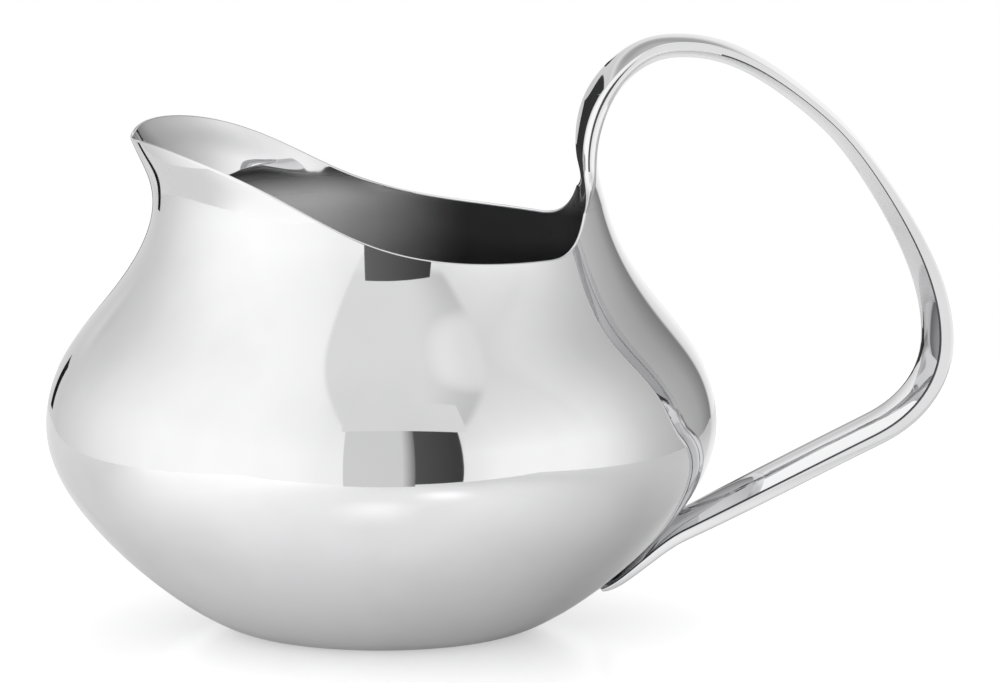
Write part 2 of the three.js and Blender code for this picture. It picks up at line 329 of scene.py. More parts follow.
along_bowl = np.linspace(0, 1, BOWL_ROWS)
bowl_points = bowl_line.point(along_bowl)
bowl_heading = bowl_line.heading(along_bowl)
bowl_normal = np.stack([bowl_heading[:, 1], -bowl_heading[:, 0]], -1)
base_radii = np.linspace(0, BASE_END[0], BASE_RINGS + 1)[1:-1]
flat_out = np.stack([base_radii, np.zeros_like(base_radii)], -1)
flat_in = flat_out[::-1] + np.array([0, WALL])
down = np.tile([0.0, -1.0], (len(base_radii), 1))
bowl_outline = np.concatenate([flat_out, bowl_points, (bowl_points - WALL * bowl_normal)[::-1], flat_in])
bowl_facing = np.concatenate([down, bowl_normal, -bowl_normal[::-1], -down])
bowl_grid = turned(bowl_outline)
bowl_rows, bowl_columns = bowl_grid.shape[:2]
bowl_faces = grid_faces(bowl_rows, bowl_columns)
under_centre, inside_centre = bowl_rows * bowl_columns, bowl_rows * bowl_columns + 1
last_row = (bowl_rows - 1) * bowl_columns
bowl_inside = list(range((len(flat_out) + BOWL_ROWS) * bowl_columns, last_row))
for column in range(bowl_columns):
    following = (column + 1) % bowl_columns
    bowl_faces.append((under_centre, following, column))
    bowl_faces.append((inside_centre, last_row + column, last_row + following))
    bowl_inside.append(len(bowl_faces) - 1)
bowl = polished_piece(
    "lower_bowl",
    np.concatenate([bowl_grid.reshape(-1, 3), [(0, 0, 0), (0, 0, WALL)]]),
    np.concatenate([turned(bowl_facing).reshape(-1, 3), [(0, 0, -1), (0, 0, 1)]]),
    bowl_faces,
    [body_steel, inside_steel],
    bowl_inside,
)
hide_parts("bowl_shell")
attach(bowl, "root")

# Shoulder, neck and spout
# One drawn wall of the same sheet: in from the belly to the neck, out again to the lip. The rim is cut on
# a slope, high at the spout, and rounded over. At the rear it runs up as a tongue that takes the handle.
NECK_HEIGHT = 68.1
NECK_END = (35.95, NECK_HEIGHT, 90.0, -11.9)
LIP_FLARE = 5.0
LIP_HEIGHT = 80.1
LIP_END = (38.9, LIP_HEIGHT, 90.0 - LIP_FLARE, np.inf)
BELLY_REACH_ABOVE = 36.8
NECK_REACH_BELOW = 46.3
NECK_REACH_ABOVE = 14.1
LIP_REACH = 11.4
BEAK = 1.35
BEAK_ANGLE = 21.0
BEAK_POWER = 4
RIM_THINNING = 6.0
TONGUE_LEAN = 0.65
TONGUE_LEAN_RUN = 8.0
TONGUE_LEAN_POWER = 2.6
LEAN_ANGLE = 25.7
SHOULDER_ROWS = 84
RIM_STEPS = 8
ANGLE_STEP, ANGLE_SLACK = 0.01, 1e-6
HEIGHT_STEP, INNER_HEIGHT_STEP = 0.005, 0.02

shoulder_line = Line(BELLY_END, NECK_END, BELLY_REACH_ABOVE, NECK_REACH_BELOW)
lip_line = Line(NECK_END, LIP_END, NECK_REACH_ABOVE, LIP_REACH)


def profile_radius(z):
    """Radius of the body's outside at a height, found by halving along the line that holds it."""
    z = np.asarray(z, float)
    radius = LIP_END[0] + (z - LIP_HEIGHT) * np.tan(np.radians(LIP_FLARE))
    stretches = (
        (bowl_line, 0.0, BELLY_HEIGHT),
        (shoulder_line, BELLY_HEIGHT, NECK_HEIGHT),
        (lip_line, NECK_HEIGHT, LIP_HEIGHT),
    )
    for line, bottom, top in stretches:
        here = (z >= bottom) & (z <= top)
        low, high = np.zeros(here.sum()), np.ones(here.sum())
        for _ in range(HALVINGS):
            middle = (low + high) / 2
            below = line.point(middle)[:, 1] < z[here]
            low, high = np.where(below, middle, low), np.where(below, high, middle)
        radius[here] = line.point((low + high) / 2)[:, 0]
    return radius


def ease(value, low, high):
    """Smooth rise from 0 to 1 with no kink at either end."""
    share = np.clip((value - low) / (high - low), 0, 1)
    return share**3 * (share * (6 * share - 15) + 10)


def wall_point(angle, z):
    """Outside of the upper body: leaning in at the rear under the handle, drawn to a beak at the spout."""
    angle, z = np.broadcast_arrays(np.asarray(angle, float), np.asarray(z, float))
    away = np.abs(angle)
    rear = 1 - ease(away, LEAN_ANGLE, FILLET_END)
    lean = TONGUE_LEAN * np.maximum(0, (z - WELD_HEIGHT) / TONGUE_LEAN_RUN + 1) ** TONGUE_LEAN_POWER
    above = np.clip((z - NECK_HEIGHT) / (LIP_HEIGHT - NECK_HEIGHT), 0, 1)
    beak = BEAK * above**BEAK_POWER * np.exp(-(((180 - away) / BEAK_ANGLE) ** 2))
    radius = profile_radius(z) - rear * lean + beak
    turn = np.radians(angle)
    return np.stack([radius * np.cos(turn), radius * np.sin(turn), z], -1)


def surface_normal(surface, u, v, step_u, step_v):
    """Unit normal of a surface of two values, from small steps along both."""
    across = surface(u + step_u, v) - surface(u - step_u, v)
    along = surface(u, v + step_v) - surface(u, v - step_v)
    return unit(np.cross(across, along))


def wall_normal(angle, z):
    return surface_normal(wall_point, angle, z, ANGLE_STEP, HEIGHT_STEP)


def inner_point(angle, z):
    """Inside of the wall, which thins towards the rim."""
    thick = RIM_WALL + (WALL - RIM_WALL) * ease(rim_edge(angle) - z, 0, RIM_THINNING)
    return wall_point(angle, z) - thick[..., None] * wall_normal(angle, z)


def rounded_edge(front, front_normal, back, tangent, outward, steps):
    """Points and normals of the small arc that rounds the edge between a front and a back surface."""
    across = unit(front - back)
    out = unit(np.cross(across, tangent))
    out = out * np.sign((out * outward).sum(-1, keepdims=True))
    tilt = np.arctan2((front_normal * out).sum(-1), (front_normal * across).sum(-1))
    radius = np.linalg.norm(front - back, axis=-1) / 2 / np.cos(tilt)
    centre = (front + back) / 2 - (radius * np.sin(tilt))[..., None] * out
    share = np.linspace(0, 1, steps + 2)[1:-1].reshape((-1,) + (1,) * tilt.ndim)
    turn = (tilt + share * (np.pi - 2 * tilt))[..., None]
    normals = np.cos(turn) * across + np.sin(turn) * out
    return centre + radius[..., None] * normals, normals


on_tongue = np.abs(ring_angles) < weld_angle - ANGLE_SLACK
top_heights = np.where(on_tongue, WELD_HEIGHT, rim_edge(ring_angles))
rises = np.linspace(0, 1, SHOULDER_ROWS)[:, None]
heights = BELLY_HEIGHT + (top_heights - BELLY_HEIGHT) * rises
outside = wall_point(ring_angles, heights)
outside_normal = wall_normal(ring_angles, heights)
seam_turn = np.stack([np.cos(ring_turns), np.sin(ring_turns), np.zeros_like(ring_turns)], -1)
outside_normal[0] = seam_turn
inside = inner_point(ring_angles, heights)
inside[0] = outside[0] - WALL * seam_turn
inside_normal = -surface_normal(inner_point, ring_angles, heights, ANGLE_STEP, INNER_HEIGHT_STEP)
inside_normal[0] = -seam_turn
ahead, behind = ring_angles + ANGLE_STEP, ring_angles - ANGLE_STEP
rim_tangent = wall_point(ahead, rim_edge(ahead)) - wall_point(behind, rim_edge(behind))
rim_points, rim_normals = rounded_edge(
    outside[-1], outside_normal[-1], inside[-1], rim_tangent, np.array([0.0, 0.0, 1.0]), RIM_STEPS
)
flat_share = np.linspace(0, 1, RIM_STEPS + 2)[1:-1, None, None]
weld_face = outside[-1] + (inside[-1] - outside[-1]) * flat_share
rim_points = np.where(on_tongue[None, :, None], weld_face, rim_points)
shoulder_grid = np.concatenate([outside, rim_points, inside[::-1]])
shoulder_normal = np.concatenate([outside_normal, rim_normals, inside_normal[::-1]])
shoulder_rows, shoulder_columns = shoulder_grid.shape[:2]
shoulder = polished_piece(
    "shoulder_and_spout",
    shoulder_grid.reshape(-1, 3),
    shoulder_normal.reshape(-1, 3),
    grid_faces(shoulder_rows, shoulder_columns, close_rows=True),
    [body_steel, inside_steel],
    range((SHOULDER_ROWS + RIM_STEPS) * shoulder_columns, (shoulder_rows - 1) * shoulder_columns),
)
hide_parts("shoulder_shell")
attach(shoulder, "root")

# Handle root
# A solid transition, welded on top of the tongue: below it has the curved section of the wall, above the
# two-sided lens section of the handle, so its front turns from hollow to crowned as it rises.
ROOT_DEPTH = 2.7
ROOT_BEND = 13.0
ROOT_LENGTH = 14.0
UPPER_AT = 23.0

# Points on the handle's line, the crown and flank from its root and the elbow from the belly: x, z, the slope
# in degrees (of the flank alone) and the bend radius.
CROWN = (14.42, 24.53, 27.1)
FLANK = (39.29, 11.08, 46.4, 33.6)
ELBOW = (34.8, 13.46, 23.4)
ARM_BACK, ARM_DROP, ARM_SLOPE = 11.14, 15.65, 26.8
FOOT_STANDOFF = 6.6
BEND_STANDOFF = 3.3
TIP_HEIGHT = 6.4
TIP_STANDOFF = 1.12
TAIL_REACH_OUT, TAIL_REACH_IN = 13.5, 17.8
LINE_SAMPLES = 4001
ROOT_ROWS = 44
EDGE_STEPS = 10
HALF_EDGE = EDGE_STEPS // 2
SQUARE_POWER = 5.0
SQUARE_BULGE = 0.14
ROOT_BLEND = 6.5
SHARE_STEP = 0.001
RUN_STEP, RUN_SLACK = 0.01, 1e-9
TIP_STEP = 0.05

root_x = float(wall_point(0.0, [WELD_HEIGHT])[0, 0]) - ROOT_DEPTH
elbow_place = np.array([BELLY_END[0] + ELBOW[0], BELLY_HEIGHT + ELBOW[1]])
arm_top = elbow_place - np.array([ARM_BACK, ARM_DROP])
arm_along = -np.array([np.cos(np.radians(ARM_SLOPE)), np.sin(np.radians(ARM_SLOPE))])
run = np.linspace(0, arm_top[1] / np.sin(np.radians(ARM_SLOPE)), LINE_SAMPLES)
arm_points = arm_top + run[:, None] * arm_along
standoff = arm_points[:, 0] - profile_radius(arm_points[:, 1])
foot_run, bend_run = np.interp([-FOOT_STANDOFF, -BEND_STANDOFF], -standoff, run)
arm_bend = arm_top + bend_run * arm_along
tip_radii = profile_radius(np.array([TIP_HEIGHT - TIP_STEP, TIP_HEIGHT, TIP_HEIGHT + TIP_STEP]))
tip_slope = (tip_radii[2] - tip_radii[0]) / (2 * TIP_STEP)
tip_out = unit(np.array([1.0, -tip_slope])) * TIP_STANDOFF
tip_heading = np.degrees(np.arctan2(-1.0, -tip_slope))
handle_ends = (
    (root_x, WELD_HEIGHT, 90.0, ROOT_BEND),
    (root_x + CROWN[0], WELD_HEIGHT + CROWN[1], 0.0, -CROWN[2]),
    (root_x + FLANK[0], WELD_HEIGHT + FLANK[1], -FLANK[2], -FLANK[3]),
    (*elbow_place, -90.0, -ELBOW[2]),
    (*arm_top, ARM_SLOPE - 180, np.inf),
    (*arm_bend, ARM_SLOPE - 180, np.inf),
    (tip_radii[1] + tip_out[0], TIP_HEIGHT + tip_out[1], tip_heading, np.inf),
)
handle_lines = [Line(*pair) for pair in zip(handle_ends[:-1], handle_ends[1:-1])]
handle_lines.append(Line(handle_ends[-2], handle_ends[-1], TAIL_REACH_OUT, TAIL_REACH_IN))
line_share = np.linspace(0, 1, LINE_SAMPLES)
line_runs = []
line_starts = [0.0]
for line in handle_lines:
    steps = np.linalg.norm(np.diff(line.point(line_share), axis=0), axis=1)
    line_runs.append(np.concatenate([[0.0], np.cumsum(steps)]))
    line_starts.append(line_starts[-1] + line_runs[-1][-1])
crown_at, flank_at, elbow_at, arm_at, bend_at, tip_at = line_starts[1:]
foot_at = arm_at + foot_run

# Stations of the section: distance, half width, how far the ridge lies towards the fingers, how far the
# finger side and the outer side stand proud of the edge (hollow if negative), thickness of the edge, fullness
# of the finger side (1 for two flats, 2 for a dish), how square the edge is, and the slope of a slight twist.
stations = np.array(
    [
        (0.0, 8.6, 0.4, 0.8, -1.0, 1.8, 2.0, 0.0, 0.0),
        (ROOT_LENGTH, 7.4, -0.05, 0.45, -0.8, 2.5, 2.0, 0.0, 0.055),
        (UPPER_AT, 6.6, -0.1, 1.3, 0.5, 1.7, 1.8, 0.3, 0.055),
        (crown_at, 5.6, -0.39, 1.47, 0.35, 1.5, 2.4, 0.6, 0.0),
        (flank_at, 5.3, -0.75, 1.9, 0.1, 0.9, 1.15, 1.0, 0.0),
        (elbow_at, 5.3, -1.22, 2.57, 0.05, 2.2, 1.2, 1.0, 0.0),
        (arm_at, 5.0, -1.03, 2.8, 0.05, 1.9, 2.0, 1.0, 0.0),
        (bend_at, 5.0, -0.9, 2.4, 0.05, 1.8, 2.0, 1.0, 0.0),
        (tip_at, 4.4, 0.0, 0.8, 0.4, 0.8, 2.0, 1.0, 0.0),
    ]
)
HALF, RIDGE, FINGER, OUTER, EDGE, FULLNESS, SQUARE, TWIST = range(1, 9)


def handle_middle(distance):
    """Place and heading of the handle's line, in the plane of the handle, at a distance along it."""
    distance = np.asarray(distance, float)
    place, along = np.zeros(distance.shape + (2,)), np.zeros(distance.shape + (2,))
    for line, runs, start, end in zip(handle_lines, line_runs, line_starts, line_starts[1:]):
        here = (distance >= start - RUN_SLACK) & (distance <= end + RUN_SLACK)
        share = np.interp(distance[here] - start, runs, line_share)
        place[here], along[here] = line.point(share), line.heading(share)
    for line, end, past in ((handle_lines[0], 0.0, distance), (handle_lines[-1], 1.0, distance - tip_at)):
        here = past < -RUN_SLACK if end == 0 else past > RUN_SLACK
        place[here] = line.point(end) + past[here][:, None] * line.heading(end)
        along[here] = line.heading(end)
    return place, along


def section_size(column, distance):
    """A size of the section at a distance, on a smooth curve through the stations."""
    at, size = stations[:, 0], stations[:, column]
    slope = np.gradient(size, at)
    slope[1:-1] = (size[2:] - size[:-2]) / (at[2:] - at[:-2])
    i = np.clip(np.searchsorted(at, distance), 1, len(at) - 1)
    span = at[i] - at[i - 1]
    u = (distance - at[i - 1]) / span
    start = size[i - 1] * (1 + 2 * u) * (1 - u) ** 2 + slope[i - 1] * span * u * (1 - u) ** 2
    return start + size[i] * u**2 * (3 - 2 * u) + slope[i] * span * u**2 * (u - 1)


def lens_point(side, share, distance):
    """Skin of the lens: side 1 faces the fingers, -1 faces away; share runs across the width."""
    share, distance = np.broadcast_arrays(np.asarray(share, float), np.asarray(distance, float))
    columns = (HALF, RIDGE, FINGER, OUTER, EDGE, FULLNESS)
    half, ridge, finger, outer, edge, fullness = (section_size(column, distance) for column in columns)
    swell = finger * (1 - np.abs(share) ** fullness) if side > 0 else outer * (1 - share**2)
    depth = ridge - section_size(TWIST, distance) * share * half + side * (edge / 2 + swell)
    place, along = handle_middle(distance)
    x = place[..., 0] + depth * along[..., 1]
    z = place[..., 1] - depth * along[..., 0]
    return np.stack([x, share * (half - edge / 4), z], -1)


def root_point(side, share, distance):
    """Skin of the root: the wall's own surface at its foot, eased into the lens at its top."""
    share, distance = np.broadcast_arrays(np.asarray(share, float), np.asarray(distance, float))
    z = handle_middle(distance)[0][..., 1]
    angle = share * tongue_angle(z)
    on_wall = wall_point(angle, z) if side > 0 else inner_point(angle, z)
    blend = (1 - (1 - np.clip(distance / ROOT_BLEND, 0, 1)) ** 2)[..., None]
    return on_wall + (lens_point(side, share, distance) - on_wall) * blend


def squared_edge(front, back, outward, steps):
    """Points and normals of a flat edge with small round corners between a front and a back surface."""
    across, centre = (front - back) / 2, (front + back) / 2
    half_across = np.linalg.norm(across, axis=-1, keepdims=True)
    bulge = 2 * SQUARE_BULGE * half_across
    turn = np.pi * np.linspace(0, 1, steps + 2)[1:-1].reshape(-1, 1, 1)
    level, proud = np.cos(turn), np.sin(turn)
    points = centre + np.sign(level) * np.abs(level) ** (2 / SQUARE_POWER) * across
    points = points + proud ** (2 / SQUARE_POWER) * bulge * outward
    sideways = np.sign(level) * np.abs(level) ** (2 - 2 / SQUARE_POWER) * across / half_across**2
    return points, unit(sideways + proud ** (2 - 2 / SQUARE_POWER) * outward / bulge)


def closed_section(skin, shares, distances):
    """Front, edge, back and edge as one closed loop per row, with its normals; edges are round to square."""
    rows = distances[:, None]
    square = section_size(SQUARE, distances)[:, None]
    front = skin(1, shares, rows)
    back = skin(-1, shares, rows)
    front_normal = surface_normal(lambda u, v: skin(1, u, v), shares, rows, SHARE_STEP, RUN_STEP)
    back_normal = -surface_normal(lambda u, v: skin(-1, u, v), shares, rows, SHARE_STEP, RUN_STEP)
    loops, normals = [front], [front_normal]
    for end, sign in ((-1, 1.0), (0, -1.0)):
        share = shares[end]
        tangent = skin(1, share, distances + RUN_STEP) - skin(1, share, distances - RUN_STEP)
        out = np.array([0.0, sign, 0.0])
        points, facing = rounded_edge(
            front[:, end], front_normal[:, end], back[:, end], tangent, out, EDGE_STEPS
        )
        square_points, square_facing = squared_edge(front[:, end], back[:, end], out, EDGE_STEPS)
        points = points + (square_points - points) * square
        facing = unit(facing + (square_facing - facing) * square)
        order = 1 if sign > 0 else -1
        loops.append(np.moveaxis(points, 0, 1)[:, ::order])
        normals.append(np.moveaxis(facing, 0, 1)[:, ::order])
        if sign > 0:
            loops.append(back[:, ::-1])
            normals.append(back_normal[:, ::-1])
    return np.concatenate(loops, axis=1), np.concatenate(normals, axis=1)


def end_caps(rows, loop, zip_start):
    """Quads that close both ends of a tube, zipping each loop together from one place on it."""
    faces = []
    for base, turn in ((0, 1), ((rows - 1) * loop, -1)):
        ahead = [base + (zip_start + q) % loop for q in range(loop // 2)]
        behind = [base + (zip_start - 1 - q) % loop for q in range(loop // 2)]
        for q in range(loop // 2 - 1):
            faces.append([ahead[q], ahead[q + 1], behind[q + 1], behind[q]][::turn])
    return faces


handle_steel = polished_steel("polished stainless steel handle", "XZ")
root_shares = np.linspace(-1, 1, TONGUE_COLUMNS + 1)
root_distances = np.linspace(0, ROOT_LENGTH, ROOT_ROWS)
root_loop, root_normals = closed_section(root_point, root_shares, root_distances)
root_rows, root_columns = root_loop.shape[:2]
handle_root = polished_piece(
    "handle_root_block",
    root_loop.reshape(-1, 3),
    root_normals.reshape(-1, 3),
    grid_faces(root_rows, root_columns) + end_caps(root_rows, root_columns, -HALF_EDGE),
    [handle_steel],
)
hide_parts("handle_root")
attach(handle_root, "root")

# Handle loop
# Two strips pressed to a shallow dish and welded along both edges into a hollow loop. The weld is dressed
# to an edge that is soft over the crown and square along the flank and arm. Past the crown it stays to be
# seen as a fine dark line, where the polishing wheel doesn't reach into the corner.
LOOP_ROW_MM = 0.75
LOOP_COLUMNS = 33
HANDLE_WALL = 0.8
EDGE_LINING = 0.06
WELD_LINE_TONES = ("#58585a", "#47474a")
WELD_LINE_STEPS = 4
WELD_LINE_PAST_CROWN = 6.0
weld_line = polished_steel("dressed weld line of the handle", "XZ", tones=WELD_LINE_TONES)


def weld_faces(faces, loop, corners, first_row):
    """Faces at the finger side's two corners of the edge, from a row on, which show the weld as a line."""
    lines = [{(corner + side * q) % loop for q in range(WELD_LINE_STEPS + 1)} for corner, side in corners]
    return [
        index
        for index, face in enumerate(faces)
        if min(face) >= first_row * loop and any(all(v % loop in line for v in face) for line in lines)
    ]


loop_shares = np.sin(np.linspace(-np.pi / 2, np.pi / 2, LOOP_COLUMNS))
loop_distances = np.linspace(ROOT_LENGTH, foot_at, int((foot_at - ROOT_LENGTH) / LOOP_ROW_MM))
loop_grid, loop_normals = closed_section(lens_point, loop_shares, loop_distances)
weld_row = int(np.searchsorted(loop_distances, crown_at + WELD_LINE_PAST_CROWN))
around = np.arange(loop_grid.shape[1])
outer_first = LOOP_COLUMNS + HALF_EDGE - 1
outer_last = 2 * LOOP_COLUMNS + EDGE_STEPS + HALF_EDGE
skins = {
    "handle_finger_strip": np.concatenate([around[-HALF_EDGE:], around[: LOOP_COLUMNS + HALF_EDGE]]),
    "handle_outer_strip": around[outer_first : outer_last + 1],
}
strip_nodes = {"handle_finger_strip": "handle_inner_shell", "handle_outer_strip": "handle_outer_shell"}
for name, columns in skins.items():
    skin, facing = loop_grid[:, columns], loop_normals[:, columns]
    lining = skin - HANDLE_WALL * facing
    middle = (skin[:, :1] + skin[:, -1:]) / 2
    for side in (slice(None, HALF_EDGE + 1), slice(-HALF_EDGE - 1, None)):
        lining[:, side] = skin[:, side] * (1 - EDGE_LINING) + middle * EDGE_LINING
    strip_grid = np.concatenate([skin, lining[:, ::-1]], axis=1)
    strip_normals = np.concatenate([facing, -facing[:, ::-1]], axis=1)
    rows, loop = strip_grid.shape[:2]
    strip_faces = grid_faces(rows, loop) + end_caps(rows, loop, 0)
    corners = [(HALF_EDGE, -1), (HALF_EDGE + LOOP_COLUMNS - 1, 1)] if name == "handle_finger_strip" else []
    strip = polished_piece(
        name,
        strip_grid.reshape(-1, 3),
        strip_normals.reshape(-1, 3),
        strip_faces,
        [handle_steel, weld_line],
        weld_faces(strip_faces, loop, corners, weld_row),
    )
    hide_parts(strip_nodes[name])
    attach(strip, "root")

# Handle tail
# A solid tongue, welded into the end of the loop, that thins and bends down the bowl to a rounded tip.
# Its inner side is filed to the curve of the bowl and brazed to it.
TAIL_ROW_MM = 0.5
TIP_ROUND = 4.5
TIP_ROWS = 14
TIP_THIN = 0.45
TIP_NARROW = 0.12
TIP_STOP = 0.02
BRAZE_GAP = 0.03


def tail_point(side, share, distance):
    """Skin of the tail: the lens, thinned and rounded off in plan at the tip."""
    share, distance = np.broadcast_arrays(np.asarray(share, float), np.asarray(distance, float))
    past = np.clip((distance - tip_at + TIP_ROUND) / TIP_ROUND, 0, 1)
    plan = np.sqrt(np.maximum(1 - past**2, 0.0))
    points = lens_point(side, share, distance)
    middle = handle_middle(distance)[0]
    thin = (TIP_THIN + (1 - TIP_THIN) * plan)[..., None]
    points[..., 1] *= np.maximum(plan, TIP_NARROW)
    points[..., 0::2] = middle + (points[..., 0::2] - middle) * thin
    return points


tail_run = np.linspace(foot_at, tip_at - TIP_ROUND, int((tip_at - TIP_ROUND - foot_at) / TAIL_ROW_MM))
tail_end = tip_at - TIP_ROUND * (1 - np.sin(np.linspace(0, np.pi / 2, TIP_ROWS)[1:]))
tail_distances = np.concatenate([tail_run, np.minimum(tail_end, tip_at - TIP_STOP)])
tail_grid, tail_normals = closed_section(tail_point, loop_shares, tail_distances)

# What would lie inside the bowl is moved out to its surface.
tail_reach = np.hypot(tail_grid[..., 0], tail_grid[..., 1])
bowl_reach = profile_radius(np.maximum(tail_grid[..., 2], 0)) + BRAZE_GAP
push = np.maximum(1.0, bowl_reach / tail_reach)
tail_grid[..., :2] *= push[..., None]
tail_rows, tail_columns = tail_grid.shape[:2]
tail_faces = grid_faces(tail_rows, tail_columns) + end_caps(tail_rows, tail_columns, -HALF_EDGE)
tail = polished_piece(
    "handle_tail_tongue",
    tail_grid.reshape(-1, 3),
    tail_normals.reshape(-1, 3),
    tail_faces,
    [handle_steel, weld_line],
    weld_faces(tail_faces, tail_columns, [(0, -1), (LOOP_COLUMNS - 1, 1)], 0),
)
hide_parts("handle_tail")
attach(tail, "root")

# Table
# A white lacquered board that the jug stands on, a little wider than the jug, with its front edge close.
# Painted light lies on it, most on the left, and shows in the jug's belly. Two small painted pools of light
# at its front show as soft spots there, and two wide ones lift its right. The jug keeps its faint shadow on
# it.
TABLE_FRONT, TABLE_BACK, TABLE_LEFT, TABLE_RIGHT = -165.0, 249.0, -170.0, 190.0
TABLE_DROP = 0.05
TABLE_WHITE = "#e6e6e6"
LACQUER_ROUGHNESS, LACQUER_IOR = 0.25, 1.5
PAINTED_GLOW_LEFT, PAINTED_GLOW_RIGHT = 0.66, 0.0
GLOW_RUN = (-80.0 * MM, 60.0 * MM)
GLOW_DEPTH = (-60.0 * MM, 15.0 * MM)
GLOW_REAR_SHARE = 0.15
GLOW_SEEN = 0.55

# Painted pools of light on the board, which are no lamps, as (place, level, radius).
PAINTED_LIGHT_SPOTS = (
    ((-3.7, -82.4, 0.0), 0.3, 20.0),
    ((30.8, -106.7, 0.0), 0.4, 20.0),
    ((45.0, -92.0, 0.0), 0.36, 90.0),
    ((55.0, 110.0, 0.0), 0.25, 130.0),
)
lacquer = bpy.data.materials.new("white lacquer with painted light")
lacquer.use_nodes = True
tree = lacquer.node_tree
tree.nodes.clear()
board = add_node(
    tree,
    "ShaderNodeBsdfPrincipled",
    {"Base Color": linear(TABLE_WHITE), "Roughness": LACQUER_ROUGHNESS, "IOR": LACQUER_IOR},
)
place = add_node(tree, "ShaderNodeTexCoord")
split = add_node(tree, "ShaderNodeSeparateXYZ", {0: (place, "Object")})
# The level of painted light on the board: strongest at the left front, with the painted pools added.
painted_glow = run_node(tree, (split, "X"), GLOW_RUN, (PAINTED_GLOW_LEFT, PAINTED_GLOW_RIGHT), soft=False)
depth = run_node(tree, (split, "Y"), GLOW_DEPTH, (1.0, GLOW_REAR_SHARE))
painted_glow = add_node(tree, "ShaderNodeMath", {0: (painted_glow, 0), 1: (depth, 0)}, operation="MULTIPLY")
for middle, level, radius in PAINTED_LIGHT_SPOTS:
    painted_spot_place = tuple(value * MM for value in middle)
    reach = add_node(
        tree, "ShaderNodeVectorMath", {0: (place, "Object"), 1: painted_spot_place}, operation="DISTANCE"
    )
    painted_spot = run_node(tree, (reach, "Value"), (0.0, radius * MM), (level, 0.0))
    painted_glow = add_node(tree, "ShaderNodeMath", {0: (painted_glow, 0), 1: (painted_spot, 0)}, operation="ADD")

# This painted light shows to the camera, as an even lift, and in the polish, and throws no light of its own.
rays = add_node(tree, "ShaderNodeLightPath")
level = add_node(
    tree,
    "ShaderNodeMix",
    {"Factor": (rays, "Is Camera Ray"), "A": (painted_glow, 0), "B": GLOW_SEEN},
    data_type="FLOAT",
)
lift = add_node(tree, "ShaderNodeEmission", {"Color": linear(TABLE_WHITE), "Strength": (level, "Result")})
bare = add_node(tree, "ShaderNodeAddShader", {0: (board, "BSDF"), 1: (lift, "Emission")})
eyes = add_node(
    tree, "ShaderNodeMath", {0: (rays, "Is Camera Ray"), 1: (rays, "Is Glossy Ray")}, operation="MAXIMUM"
)
seen = add_node(tree, "ShaderNodeMixShader", {0: (eyes, 0), 1: (board, "BSDF"), 2: (bare, "Shader")})
add_node(tree, "ShaderNodeOutputMaterial", {"Surface": (seen, "Shader")})


def flat_board(name, corners, material):
    """An object of one flat face through four corners in mm."""
    mesh = bpy.data.meshes.new(name)
    mesh.from_pydata([tuple(value * MM for value in corner) for corner in corners], [], [(0, 1, 2, 3)])
    mesh.materials.append(material)
    board = bpy.data.objects.new(name, mesh)
    bpy.context.scene.collection.objects.link(board)
    return board


table_corners = [
    (TABLE_LEFT, TABLE_FRONT, -TABLE_DROP),
    (TABLE_RIGHT, TABLE_FRONT, -TABLE_DROP),
    (TABLE_RIGHT, TABLE_BACK, -TABLE_DROP),
    (TABLE_LEFT, TABLE_BACK, -TABLE_DROP),
]
table = flat_board("table_board", table_corners, lacquer)

# Studio
# A white room with a tall light panel at the left and one at the right, both leaning outwards, and a pale
# ceiling between them. The camera sees plain white. Paper cards stand close round the jug: their edges are
# what draws the shapes in its polish, and only the polish shows them.
world = bpy.data.worlds.new("white studio")
bpy.context.scene.world = world
world.use_nodes = True
tree = world.node_tree
tree.nodes.clear()
look = add_node(tree, "ShaderNodeTexCoord")
split = add_node(tree, "ShaderNodeSeparateXYZ", {0: (look, "Generated")})
minus_y = add_node(tree, "ShaderNodeMath", {0: (split, "Y"), 1: -1.0}, operation="MULTIPLY")
azimuth = add_node(tree, "ShaderNodeMath", {0: (split, "X"), 1: (minus_y, 0)}, operation="ARCTAN2")
turn_share = run_node(tree, (azimuth, 0), (-np.pi, np.pi), soft=False)


def grey_ramp(tree, position, levels):
    """A ramp of greys over a position from 0 to 1, given as pairs of position and level."""
    node = add_node(tree, "ShaderNodeValToRGB", {0: position})
    ramp = node.color_ramp
    while len(ramp.elements) < len(levels):
        ramp.elements.new(0.5)
    for element, (where, level) in zip(ramp.elements, levels):
        element.position = where
        element.color = (level, level, level, 1.0)
    return node


# Brightness of the walls round the room, as (degrees from the camera's side towards the handle, level),
# where 1 is the brightest part of the left panel.
PANEL_STRENGTH = 1.45
wall_levels = [
    (-180, 0.60), (-172, 0.52), (-150, 0.53), (-140, 0.585), (-130, 0.65), (-120, 0.735), (-110, 0.81),
    (-100, 0.88), (-90, 0.94), (-80, 0.97), (-65, 0.985), (-45, 0.955), (-30, 0.915), (-20, 0.86),
    (22, 0.80), (30, 0.81), (40, 0.88), (55, 0.90), (70, 0.89), (80, 0.845), (90, 0.735), (100, 0.61),
    (110, 0.525), (125, 0.43), (140, 0.34), (147, 0.25), (154.5, 0.17), (156.5, 0.62), (168, 0.72),
    (180, 0.60),
]
walls = grey_ramp(tree, (turn_share, 0), [((degrees + 180) / 360, level) for degrees, level in wall_levels])

